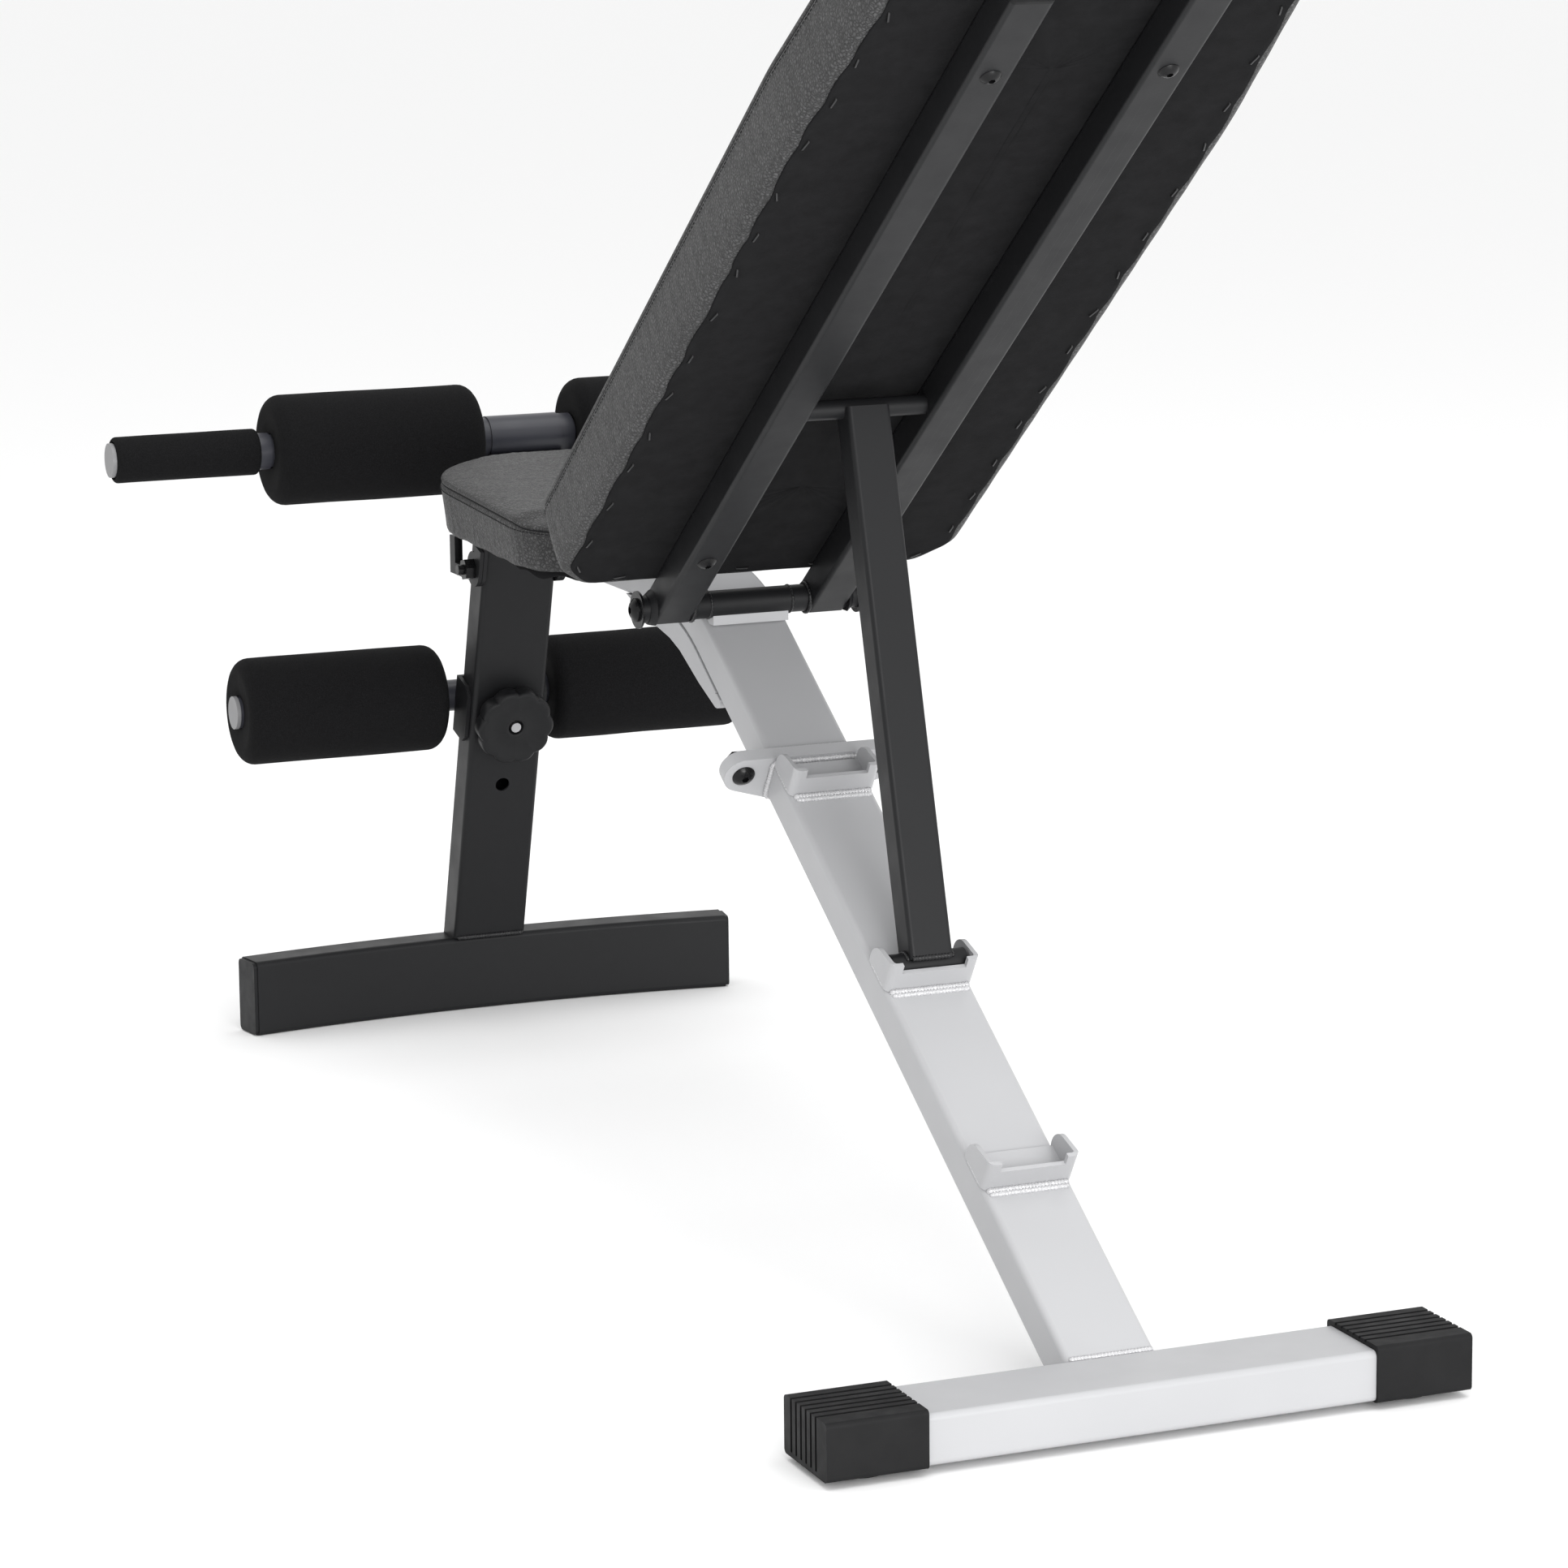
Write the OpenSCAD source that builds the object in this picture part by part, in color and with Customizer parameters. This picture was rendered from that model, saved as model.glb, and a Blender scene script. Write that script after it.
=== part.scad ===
// Sit-up bench with a reclining back, a seat, two pairs of foam leg rollers and a three-catch prop strut.
// X runs across the bench, -Y is the end with the rollers, +Y is the rear foot, +Z is up.
// Lengths are millimetres and the floor is Z = 0.

/* [Frame] */
// Width of the main rectangular tubes, across the bench
tube_w = 60; // [56:1:64]
// Depth of the main rectangular tubes
tube_d = 30; // [28:1:32]
// Wall of the main tubes
tube_wall = 2; // [1.5:0.5:2.5]
// Height of the top of the seat rail
rail_top = 430; // [425:1:435]
// Slope of the rear leg above the floor, in degrees
leg_angle = 32.5; // [32:0.5:33]
// Lean of the front post from upright, in degrees
post_lean = 16.3; // [16:0.1:16.5]

/* [Feet] */
// Width of the rear foot tube, without its rubber caps
rear_foot_len = 418; // [400:1:430]
// Height of the rear foot tube above the floor
rear_foot_z = 5; // [4:0.5:6]
// Depth of the rear foot tube, from its underside to its top
rear_foot_h = 32; // [30:1:33]
// Length of each rubber cap on the rear foot
cap_len = 65; // [60:1:70]
// Width of the front foot
front_foot_len = 404; // [380:1:420]
// How far the middle of the front foot bows forward
foot_bow = 16; // [14:1:18]

/* [Rollers] */
// Outer diameter of the foam rollers
roller_od = 84; // [78:1:86]
// Length of each foam roller
roller_len = 164; // [155:1:165]
// Diameter of the roller bars
bar_od = 25; // [24:1:26]
// Outer diameter of the foam hand grips
grip_od = 35; // [33:1:38]
// Length of each foam hand grip
grip_len = 112; // [105:1:118]

/* [Seat] */
// Width of the seat
seat_w = 256; // [250:1:266]
// Length of the seat
seat_len = 284; // [275:1:286]
// Rise of the seat towards its front, in degrees
seat_tilt = 3; // [2.5:0.5:3.5]
// Thickness of the seat cushion at its sides
seat_thick = 34; // [30:1:38]

/* [Back] */
// Incline of the back above the horizontal, in degrees
back_angle = 37.2; // [36.8:0.1:37.4]
// Width of the back cushion
back_w = 296; // [288:1:300]
// Length of the back cushion
back_len = 735; // [720:1:740]
// Thickness of the back cushion at its sides, board included
back_thick = 51; // [46:1:54]
// Thickness of the plywood boards
board_t = 10; // [9:1:12]

/* [Prop strut] */
// Distance from the back hinge to the strut's top bar
strut_reach = 256.5; // [255:0.5:258]
// Width of the strut tube
strut_w = 30; // [27:1:31]
// Depth of the strut tube
strut_d = 22; // [20:1:24]
// Spacing of the middle and bottom catches along the rear leg
catch_pitch = 175; // [172:1:176]

/* [Hidden] */
$fn = 64;
far = 400;             // longer than any cut that it is used for
rub = 0.1;             // radial clearance of a running fit
gap = 0.3;             // clearance between faces that pass each other

// colours
silver = [0.80, 0.81, 0.82];
charcoal = [0.19, 0.19, 0.20];
slate = [0.27, 0.27, 0.29];
foam = [0.08, 0.08, 0.08];
rubber = [0.14, 0.14, 0.14];
vinyl = [0.38, 0.38, 0.38];
ply = [0.55, 0.43, 0.30];
black_steel = [0.07, 0.07, 0.07];
plug_grey = [0.45, 0.45, 0.46];
zinc = [0.62, 0.62, 0.63];

// main tubes
half_w = tube_w / 2;
corner_r = 4;

// rear leg: local +Z runs up the leg, local +Y stands out of its rear face, which is local Y = 0
leg_y = 552;
leg_z = rear_foot_z + rear_foot_h - 1;
rail_bend_r = 175;
leg_top = (rail_top - rail_bend_r * (1 - cos(leg_angle)) - leg_z) / sin(leg_angle);
rail_bend_y = leg_y - leg_top * cos(leg_angle) - rail_bend_r * sin(leg_angle);
flange_t = 5;
flange_s = 536;
flange_bolt_x = 50;
flange_tip_r = 14;
flange_top = 4;
flange_low = -tube_d - 2;
flange_bolt_h = flange_top - flange_tip_r;
m8_r = 4;
m8_hole_r = 4.5;

// catches on the rear leg
catch_plate = 3;
catch_bar_r = 8;
catch_mid_s = 327;
catch_top_s = 513;
catch_half_w = 31;
catch_fold_r = 5;
catch_tab_h = 23;
catch_lip_h = 16;
catch_lip_x = 22.5;
catch_bar_h = catch_plate + catch_bar_r + 0.4;

// rear foot
rear_foot_y = leg_y + tube_w / 2;
cap_wall = 2;
cap_top = 3.4;
cap_under = 0.6;
cap_end = 4;
cap_groove = 1.6;
cap_grooves = 6;
cap_x = rear_foot_len / 2 + cap_end;
pad_r = 19;

// front post: local +Z runs up the post, local Y = 0 is its rear face
post_y = -582;
post_z = 60;
front_foot_y = post_y - 2 - tube_d / 2;
foot_r = ((front_foot_len / 2) ^ 2 + foot_bow ^ 2) / (2 * foot_bow);
foot_half_angle = asin(front_foot_len / 2 / foot_r);
foot_plug_t = 3;
hole_r = 5.75;
knob_s = 197;
hole_pitch = 60;
fork_plate = 3;
fork_r = 14;
post_bolt_seat = half_w + 6.5;
post_bolt_s = 325;
post_bolt_d = -7.5;
sleeve_s = 429;
sleeve_r = 16.5;
sleeve_half = 28.7;
sleeve_d = -23.3;
post_end = sleeve_s - 8;

// rollers and bars
bar_r = bar_od / 2;
bar_wall = 2;
roller_r = roller_od / 2;
roller_edge = 9;
collar_r = 15.5;
upper_roller_x = 39.8;
grip_x = upper_roller_x + roller_len + 9.5;
upper_bar_half = grip_x + grip_len;
plug_t = 3;
carriage_wall = 3;
carriage_h = 48;
lower_bar_d = -(tube_d + 0.3 + carriage_wall + bar_r);
lower_roller_x = 44.8;
lower_bar_half = lower_roller_x + roller_len + 1;

// star knob
knob_r = 31.5;
knob_lobes = 10;
knob_lobe_r = 6.5;
knob_boss_r = 13;
knob_back = 7;
knob_depth = 22;
stud_r = 4;

// seat: local Z = 0 is the underside of its board
seat_rear_y = -101;
seat_rear_z = 431.5;
seat_front_r = 100;
seat_rear_r = 52;
seat_inset = 6;

// back hinge and back: local +Z runs up the back, local -Y is the side of the cushion
pivot_y = -18;
pivot_z = 414.5;
axle_r = 6;
sleeve_od = 19;
bush_end = 80.5;
washer_r = 13;
washer_t = 1.6;
back_tube_x = 57.5;
back_tube_w = 28;
back_tube_d = 24;
back_tube_wall = 2;
back_tube_len = 725;
tube_back_y = 10;      // rear face of the back tubes
back_start = 14.5;
board_inset = 5;
back_head_r = 56;
back_chamfer = 24;
back_chamfer_r = 22;
back_taper = 12;
back_taper_len = 190;
back_bolt_s = 80;
back_bolt_pitch = 573;

// strut, in the YZ plane
top_bar_r = 6.5;
top_bar_y = -2;
strut_top_s = sqrt(strut_reach ^ 2 - top_bar_y ^ 2);
foot_bar_half = 26;
strut_top = [pivot_y + strut_top_s * cos(back_angle) + top_bar_y * sin(back_angle),
    pivot_z + strut_top_s * sin(back_angle) - top_bar_y * cos(back_angle)];
strut_foot = [leg_y - catch_mid_s * cos(leg_angle) + catch_bar_h * sin(leg_angle),
    leg_z + catch_mid_s * sin(leg_angle) + catch_bar_h * cos(leg_angle)];
strut_len = norm(strut_top - strut_foot);
strut_lean = atan2(strut_foot[0] - strut_top[0], strut_top[1] - strut_foot[1]);

// ---- local frames ----

module leg_frame(s = 0) {
    translate([0, leg_y, leg_z]) rotate([90 - leg_angle, 0, 0]) translate([0, 0, s]) children();
}

module post_frame(s = 0) {
    translate([0, post_y, post_z]) rotate([-post_lean, 0, 0]) translate([0, 0, s]) children();
}

module post_bolt_frame() {
    post_frame(post_bolt_s) translate([0, post_bolt_d, 0]) children();
}

module seat_frame() {
    translate([0, seat_rear_y, seat_rear_z]) rotate([-seat_tilt, 0, 0]) children();
}

module back_frame(s = 0) {
    translate([0, pivot_y, pivot_z]) rotate([back_angle - 90, 0, 0]) translate([0, 0, s]) children();
}

module strut_frame() {
    translate([0, strut_foot[0], strut_foot[1]]) rotate([strut_lean, 0, 0]) children();
}

// ---- shared shapes ----

module both_sides() {
    children();
    mirror([1, 0, 0]) children();
}

// rectangle with rounded corners, centred
module round_rect(w, d, r) {
    square([w - 2 * r, d], center = true);
    square([w, d - 2 * r], center = true);
    for (x = [-1, 1], y = [-1, 1]) translate([x * (w / 2 - r), y * (d / 2 - r)]) circle(r);
}

// section of a hollow rectangular tube, centred
module tube_section(w, d, wall, r) {
    difference() {
        round_rect(w, d, r);
        round_rect(w - 2 * wall, d - 2 * wall, max(r - wall, 0.5));
    }
}

// straight main tube along +Z, with its rear face on Y = 0
module main_tube(len) {
    translate([0, -tube_d / 2, 0]) linear_extrude(len) tube_section(tube_w, tube_d, tube_wall, corner_r);
}

// cylinder along X, centred
module x_rod(r, half) {
    rotate([0, 90, 0]) cylinder(r = r, h = 2 * half, center = true);
}

// cylinder along X from x0 to x1
module x_disc(r, x0, x1) {
    translate([x0, 0, 0]) rotate([0, 90, 0]) cylinder(r = r, h = x1 - x0);
}

// button head with a hex socket, along +Z from its seat
module button_head(r, h, socket) {
    difference() {
        intersection() {
            cylinder(r = r, h = h);
            translate([0, 0, h - r * 1.25]) sphere(r * 1.25);
        }
        translate([0, 0, h * 0.4]) cylinder(r = socket, h = h, $fn = 6);
    }
}

module hex_nut(r, h, bore) {
    difference() {
        cylinder(r = r, h = h, $fn = 6);
        translate([0, 0, -1]) cylinder(r = bore, h = h + 2);
    }
}

// touching point of the line from a corner to a circle, on the side given by the sign
function touch_point(centre, r, corner, side) =
    let(v = corner - centre, a = atan2(v[1], v[0]) + side * acos(r / norm(v)))
    centre + r * [cos(a), sin(a)];

// outline with rounded corners: w wide, from y = 0 down to y = -len
module pad_outline(w, len, r_start, r_end) {
    difference() {
        translate([-w / 2, -len]) square([w, len]);
        for (side = [-1, 1]) {
            corner_cut(side * w / 2, 0, side, 1, r_start);
            corner_cut(side * w / 2, -len, side, -1, r_end);
        }
    }
}

module corner_cut(x, y, sx, sy, r) {
    difference() {
        translate([x - (sx > 0 ? r : 0), y - (sy > 0 ? r : 0)]) square(r);
        translate([x - sx * r, y - sy * r]) circle(r);
    }
}

// ---- seat rail and rear leg ----

// the rail runs level from the post, then bends down in line with the rear leg
module seat_rail() {
    color(silver) difference() {
        union() {
            translate([0, rail_bend_y, rail_top - tube_d / 2]) rotate([90, 0, 0])
                linear_extrude(far) tube_section(tube_w, tube_d, tube_wall, corner_r);
            translate([0, rail_bend_y, rail_top - rail_bend_r]) rotate([0, -90, 0])
                rotate_extrude(angle = leg_angle) translate([rail_bend_r - tube_d / 2, 0])
                    rotate(90) tube_section(tube_w, tube_d, tube_wall, corner_r);
        }
        post_frame() translate([-far / 2, -far, 0]) cube([far, far, 2 * far]);
    }
}

module upper_leg_tube() {
    color(silver) leg_frame(flange_s + 2 * flange_t) main_tube(leg_top - flange_s - 2 * flange_t);
}

// two side webs and a strip that closes them, under the bend of the rail
module leg_gusset() {
    web = 3;
    strip = 2;
    color(silver) {
        both_sides() translate([half_w - web, 0, 0]) rotate([90, 0, 90]) linear_extrude(web) gusset_outline();
        translate([web - half_w, 0, 0]) rotate([90, 0, 90]) linear_extrude(tube_w - 2 * web) difference() {
            gusset_outline();
            translate([0, strip]) gusset_outline();
        }
    }
}

// web in the YZ plane: a leaf that follows the underside of the bend and thins out at both ends
module gusset_outline() {
    bend = [rail_bend_y, rail_top - rail_bend_r];
    end_r = 5;
    end_s = leg_top - 46;
    intersection() {
        union() {
            polygon([bend + [-60, rail_bend_r - tube_d], bend + [-22, 133], bend + [4, 129.3], bend + [26, 125.4],
                bend + [45, 119.4], bend + [82, 101.4], bend + [112, 89.2], bend + [112, 110],
                bend + [0, rail_bend_r]]);
            translate([leg_y, leg_z]) rotate(-leg_angle) translate([-end_s, -tube_d - end_r + 1]) circle(end_r);
        }
        union() {
            translate(bend) circle(rail_bend_r - tube_d);
            translate(bend + [-far, 0]) square([far, rail_bend_r - tube_d]);
            translate([leg_y, leg_z]) rotate(-leg_angle) translate([-leg_top, -tube_d - far]) square([leg_top, far]);
        }
    }
}

// plate with a straight upper edge, two round lugs for the bolts and a lower edge under the leg
module flange_plate(s) {
    lug = [flange_bolt_x, flange_bolt_h];
    outer = lug + [0.6 * flange_tip_r, 0];
    side = touch_point(lug, flange_tip_r, [half_w, flange_low], 1);
    color(silver) leg_frame(s) difference() {
        linear_extrude(flange_t) {
            polygon([[-lug[0], flange_top], [lug[0], flange_top], outer, side, [half_w, flange_low],
                [-half_w, flange_low], [-side[0], side[1]], [-outer[0], outer[1]]]);
            for (x = [-1, 1]) translate([x * lug[0], lug[1]]) circle(flange_tip_r);
        }
        for (x = [-1, 1]) translate([x * lug[0], lug[1], -1]) cylinder(r = m8_hole_r, h = flange_t + 2);
    }
}

module lower_flange() { flange_plate(flange_s); }

module upper_flange() { flange_plate(flange_s + flange_t); }

module flange_bolts() {
    color(black_steel) leg_frame(flange_s) both_sides() translate([flange_bolt_x, flange_bolt_h, 0]) {
        mirror([0, 0, 1]) button_head(8, 4.6, 2.6);
        cylinder(r = m8_r, h = 2 * flange_t + 9);
    }
}

module flange_nuts() {
    color(black_steel) leg_frame(flange_s + 2 * flange_t) both_sides()
        translate([flange_bolt_x, flange_bolt_h, 0]) hex_nut(7.5, 7.5, m8_r);
}

// ends in an upright cut against the front of the rear foot
module lower_leg_tube() {
    color(silver) difference() {
        leg_frame(-60) main_tube(flange_s + 60);
        translate([-far / 2, leg_y, -far / 2]) cube([far, far, far]);
        translate([-far / 2, 0, rear_foot_z - far]) cube([far, 2 * far, far]);
    }
}

// folded cradle: floor on the leg, two ears, and a lip with a lowered middle
module catch(s) {
    lip = -catch_bar_r - 0.4;
    color(silver) leg_frame(s) {
        translate([1 - catch_half_w, 0, lip - 1]) cube([2 * catch_half_w - 2, catch_plate, 26]);
        difference() {
            intersection() {
                translate([-catch_half_w, 0, 0]) rotate([90, 0, 90]) linear_extrude(2 * catch_half_w)
                    catch_side(lip);
                rotate([-90, 0, 0]) linear_extrude(catch_tab_h) catch_fold(-lip);
            }
            translate([-catch_lip_x, catch_lip_h, lip - catch_plate - 1])
                cube([2 * catch_lip_x, far, catch_plate + 2]);
        }
    }
}

// side view of the cradle: x is out from the leg and y runs up the leg
module catch_side(lip) {
    ear = [5, 5];
    ear_r = 14;
    tab = [catch_tab_h, lip];
    polygon([[0, lip - catch_plate], [catch_tab_h, lip - catch_plate], tab,
        touch_point(ear, ear_r, tab, 1), ear, [0, ear[1]]]);
    translate(ear) circle(ear_r);
}

// the same strip seen from outside: lip across the leg and an ear down each side, y runs down the leg
module catch_fold(lip) {
    reach = 60;
    inner_w = 2 * (catch_half_w - catch_plate);
    difference() {
        translate([0, lip + catch_plate - reach / 2]) round_rect(2 * catch_half_w, reach, catch_fold_r);
        translate([0, lip - reach / 2]) round_rect(inner_w, reach, catch_fold_r - catch_plate);
    }
}

module catch_top() { catch(catch_top_s); }

module catch_middle() { catch(catch_mid_s); }

module catch_bottom() { catch(catch_mid_s - catch_pitch); }

module rear_foot_tube() {
    color(silver) translate([-rear_foot_len / 2, rear_foot_y, rear_foot_z + rear_foot_h / 2])
        rotate([90, 0, 90]) linear_extrude(rear_foot_len)
            tube_section(tube_w, rear_foot_h, tube_wall, corner_r);
}

// rubber cap over the end of the foot, with grooves along its top and down its outer end
module rear_cap() {
    deep = tube_w + 2 * cap_wall;
    tall = rear_foot_h + cap_top + cap_under;
    mid = (cap_top - cap_under) / 2;
    pitch = 7.4;
    color(rubber) translate([cap_x, rear_foot_y, rear_foot_z + rear_foot_h / 2]) rotate([90, 0, -90])
        difference() {
            translate([0, mid, 0]) linear_extrude(cap_len) round_rect(deep, tall, 3);
            translate([0, 0, cap_end]) linear_extrude(cap_len) round_rect(tube_w, rear_foot_h, corner_r);
            for (i = [0 : cap_grooves - 1]) translate([deep / 2 - 11 - i * pitch, mid, 0]) {
                translate([-1.3, tall / 2 - cap_groove, -1]) cube([2.6, far, cap_len + 2]);
                translate([-1.3, -tall / 2 + 3, -1]) cube([2.6, tall, cap_groove + 1]);
            }
        }
}

module rear_cap_left() { rear_cap(); }

module rear_cap_right() { mirror([1, 0, 0]) rear_cap(); }

module rear_foot_pads() {
    color(rubber) both_sides() translate([cap_x - cap_len / 2, rear_foot_y, 0]) {
        cylinder(r = pad_r, h = rear_foot_z - cap_under);
    }
}

// ---- front post and foot ----

module front_post() {
    color(charcoal) difference() {
        post_frame(-20) main_tube(post_end + 20);
        translate([-far / 2, post_y - far, post_z - far]) cube([far, 2 * far, far]);
        post_frame(sleeve_s) translate([0, sleeve_d, 0]) x_rod(sleeve_r, far);
        for (i = [0, 1]) post_frame(knob_s - i * hole_pitch) rotate([90, 0, 0])
            cylinder(r = hole_r, h = far, center = true);
        post_bolt_frame() x_rod(m8_hole_r, far);
    }
}

// sweep of the foot's section about the centre of its bow, between two angles
module foot_sweep(start, sweep) {
    translate([0, front_foot_y + foot_r, post_z / 2]) rotate([0, 0, start - 90])
        rotate_extrude(angle = sweep, $fn = 360) translate([foot_r, 0]) children();
}

module front_foot() {
    color(charcoal) foot_sweep(-foot_half_angle, 2 * foot_half_angle)
        tube_section(tube_d, post_z, tube_wall, corner_r);
}

module front_foot_plugs() {
    thick = asin(foot_plug_t / foot_r);
    color(charcoal) for (start = [-foot_half_angle - thick, foot_half_angle]) {
        foot_sweep(start, thick) round_rect(tube_d - 2, post_z - 2, corner_r);
    }
}

module bar_sleeve() {
    color(slate) post_frame(sleeve_s) translate([0, sleeve_d, 0]) difference() {
        x_rod(sleeve_r, sleeve_half);
        x_rod(bar_r, far);
    }
}

module hollow_bar(half) {
    difference() {
        x_rod(bar_r, half);
        x_rod(bar_r - bar_wall, half + 1);
    }
}

module upper_bar() {
    color(slate) post_frame(sleeve_s) translate([0, sleeve_d, 0]) hollow_bar(upper_bar_half);
}

// rings that keep the upper rollers in place, either side of each
module bar_collars() {
    outer = upper_roller_x + roller_len + gap;
    color(slate) post_frame(sleeve_s) translate([0, sleeve_d, 0]) both_sides() {
        difference() {
            union() {
                x_disc(collar_r, sleeve_half, upper_roller_x - gap);
                x_disc(collar_r - 1.5, outer, grip_x - gap);
            }
            x_rod(bar_r, far);
        }
    }
}

module grip() {
    color(foam) post_frame(sleeve_s) translate([0, sleeve_d, 0]) difference() {
        x_disc(grip_od / 2, grip_x, grip_x + grip_len);
        x_rod(bar_r, far);
    }
}

module grip_left() { grip(); }

module grip_right() { mirror([1, 0, 0]) grip(); }

// closed end plugs with a stem inside the bar
module bar_plugs(half) {
    color(plug_grey) both_sides() {
        x_disc(bar_r + 0.5, half, half + plug_t);
        x_disc(bar_r - bar_wall, half - 12, half);
    }
}

module upper_bar_plugs() {
    post_frame(sleeve_s) translate([0, sleeve_d, 0]) bar_plugs(upper_bar_half);
}

// foam tube with rounded ends, free to turn on its bar
module roller(x0) {
    r0 = bar_r + rub;
    color(foam) translate([x0, 0, 0]) rotate([0, 90, 0]) rotate_extrude() difference() {
        translate([r0, 0]) square([roller_r - r0, roller_len]);
        for (end = [0, 1]) translate([0, end * roller_len]) mirror([0, end, 0]) difference() {
            translate([roller_r - roller_edge, -1]) square([roller_edge + 1, roller_edge + 1]);
            translate([roller_r - roller_edge, roller_edge]) circle(roller_edge);
        }
    }
}

module upper_roller_left() {
    post_frame(sleeve_s) translate([0, sleeve_d, 0]) roller(upper_roller_x);
}

module upper_roller_right() { mirror([1, 0, 0]) upper_roller_left(); }

// folded channel that hugs the post and carries the lower bar
module carriage_bracket() {
    inner = half_w + gap;
    outer = inner + carriage_wall;
    front = -tube_d - gap;
    cut = 9;
    color(charcoal) post_frame(knob_s) difference() {
        union() {
            translate([-outer, front - carriage_wall, -carriage_h / 2])
                cube([2 * outer, carriage_wall, carriage_h]);
            both_sides() translate([inner, front, -carriage_h / 2])
                cube([carriage_wall, tube_d - 5, carriage_h]);
        }
        for (z = [-1, 1]) translate([0, front + tube_d - 5, z * carriage_h / 2]) rotate([45, 0, 0])
            cube([far, cut, cut], center = true);
        rotate([90, 0, 0]) cylinder(r = stud_r, h = far, center = true);
    }
}

module lower_bar() {
    color(slate) post_frame(knob_s) translate([0, lower_bar_d, 0]) hollow_bar(lower_bar_half);
}

module lower_bar_plugs() {
    post_frame(knob_s) translate([0, lower_bar_d, 0]) bar_plugs(lower_bar_half);
}

module lower_roller_left() {
    post_frame(knob_s) translate([0, lower_bar_d, 0]) roller(lower_roller_x);
}

module lower_roller_right() { mirror([1, 0, 0]) lower_roller_left(); }

// stud welded to the carriage, through both walls of the post and into the knob
module knob_stud() {
    color(zinc) post_frame(knob_s) translate([0, -tube_d - gap - carriage_wall, 0]) rotate([-90, 0, 0])
        cylinder(r = stud_r, h = tube_d + gap + carriage_wall + knob_depth - 2);
}

module star_knob() {
    color(charcoal) post_frame(knob_s) rotate([-90, 0, 0]) difference() {
        union() {
            translate([0, 0, gap]) cylinder(r = knob_boss_r, h = knob_back);
            translate([0, 0, knob_back]) cylinder(r = knob_r - 4, h = knob_depth - knob_back);
            for (i = [0 : knob_lobes - 1]) rotate(i * 360 / knob_lobes)
                translate([knob_r - knob_lobe_r, 0, knob_back]) cylinder(r = knob_lobe_r, h = knob_depth - knob_back);
        }
        translate([0, 0, -1]) cylinder(r = stud_r + 0.05, h = far);
        translate([0, 0, knob_depth - 5]) cylinder(r = 5.8, h = far);
    }
}

// side plates welded to the rail, which clasp the post
module rail_fork_plates() {
    inner = half_w + 0.1;
    color(charcoal) both_sides() translate([inner, 0, 0]) difference() {
        union() {
            post_bolt_frame() {
                x_disc(fork_r, 0, fork_plate);
                translate([0, -fork_r, 0]) cube([fork_plate, 2 * fork_r, 36]);
            }
            translate([0, post_y + 88, rail_top - tube_d + 2]) cube([fork_plate, 58, tube_d - 6]);
        }
        post_bolt_frame() x_rod(m8_hole_r, far);
    }
}

module post_bolt() {
    color(black_steel) post_bolt_frame() {
        x_disc(m8_r, -post_bolt_seat, post_bolt_seat + 13);
        translate([-post_bolt_seat, 0, 0]) rotate([0, -90, 0]) button_head(8, 4.6, 2.6);
    }
}

module post_bolt_nut() {
    color(black_steel) post_bolt_frame() translate([post_bolt_seat, 0, 0]) rotate([0, 90, 0])
        hex_nut(8.6, 8, m8_r);
}

// a pair of hooks held by the post bolt, open towards the post, each with a flange turned inwards
module front_bracket() {
    strap = 3;
    side = post_bolt_seat - strap;
    front = -553;
    low = 364;
    high = 394;
    flange = 9.5;
    color(charcoal) difference() {
        both_sides() {
            translate([side + strap - flange, front, low]) cube([flange, strap, high - low]);
            translate([side, 0, 0]) {
                translate([0, front, low]) cube([strap, 12, high - low]);
                translate([0, front, low]) cube([strap, 60, 9]);
                post_bolt_frame() {
                    x_disc(fork_r, 0, strap);
                    cube([strap, fork_r, 20]);
                }
            }
        }
        post_bolt_frame() x_rod(m8_hole_r, far);
    }
}

// ---- seat ----

// two packing channels between the rail and the seat board
module seat_brackets() {
    color(charcoal) for (y = [-70, -235]) {
        rise = -y * tan(seat_tilt);
        translate([-48, seat_rear_y + y, rail_top]) difference() {
            rotate([90, 0, 90]) linear_extrude(96)
                polygon([[0, 0], [0, seat_rear_z - rail_top + rise - 0.1],
                    [-28, seat_rear_z - rail_top + rise + 28 * tan(seat_tilt) - 0.1], [-28, 0]]);
            for (x = [12, 84]) translate([x, -14, -1]) cylinder(r = 3.2, h = far);
        }
    }
}

module seat_board() {
    color(ply) difference() {
        seat_frame() translate([0, -seat_inset, 0]) linear_extrude(board_t)
            pad_outline(seat_w - 2 * seat_inset, seat_len - 2 * seat_inset, seat_rear_r - seat_inset,
                seat_front_r - seat_inset);
        for (x = [-36, 36], y = [-70, -235]) translate([x, seat_rear_y + y - 14, rail_top])
            cylinder(r = 3.2, h = 60);
    }
}

module seat_cushion() {
    color(vinyl) seat_frame() difference() {
        union() {
            linear_extrude(seat_thick) pad_outline(seat_w, seat_len, seat_rear_r, seat_front_r);
            translate([0, -12, seat_thick]) linear_extrude(4)
                pad_outline(seat_w - 24, seat_len - 24, seat_rear_r - 12, seat_front_r - 12);
        }
        translate([0, -seat_inset, -1]) linear_extrude(board_t + 1) pad_outline(seat_w - 2 * seat_inset,
            seat_len - 2 * seat_inset, seat_rear_r - seat_inset, seat_front_r - seat_inset);
    }
}

// bolts up through the overhanging ends of the packing channels
module seat_bolts() {
    color(black_steel) for (x = [-36, 36], y = [-70, -235])
        translate([x, seat_rear_y + y - 14, rail_top]) {
            mirror([0, 0, 1]) button_head(6, 3, 2);
            cylinder(r = 3, h = 10 - y * tan(seat_tilt));
        }
}

// ---- back hinge ----

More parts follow.
